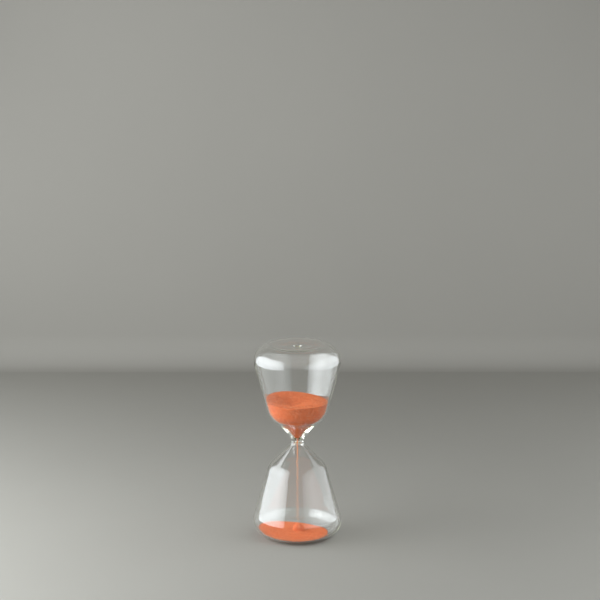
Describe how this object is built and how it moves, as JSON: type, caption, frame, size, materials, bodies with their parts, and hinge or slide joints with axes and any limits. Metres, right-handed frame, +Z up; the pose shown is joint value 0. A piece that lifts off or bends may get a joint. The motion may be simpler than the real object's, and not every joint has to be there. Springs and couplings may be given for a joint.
{
  "type": "hourglass",
  "caption": "Frameless blown-glass hourglass with tapered bulbs, rounded shoulders, a pinched waist and loose orange sand part way through its run.",
  "frame": {"origin": "centre of the ring that the glass stands on, on the floor plane", "axes": "+Z up the axis, from the standing end to the sealed end; +X to the right, towards the lower side of the sand; +Y to the back"},
  "size_m": [0.0488, 0.0488, 0.11],
  "materials": {
    "glass": "clear, fire-polished, with a faint yellow-green tint where the glass is thick",
    "sand": "matt, fine dyed grains in terracotta orange"
  },
  "bodies": {
    "root": {"upper_bulb": "glass", "lower_bulb": "glass", "fill_seal": "glass", "upper_sand": "sand", "sand_stream": "sand", "lower_sand": "sand"}
  },
  "joints": []
}
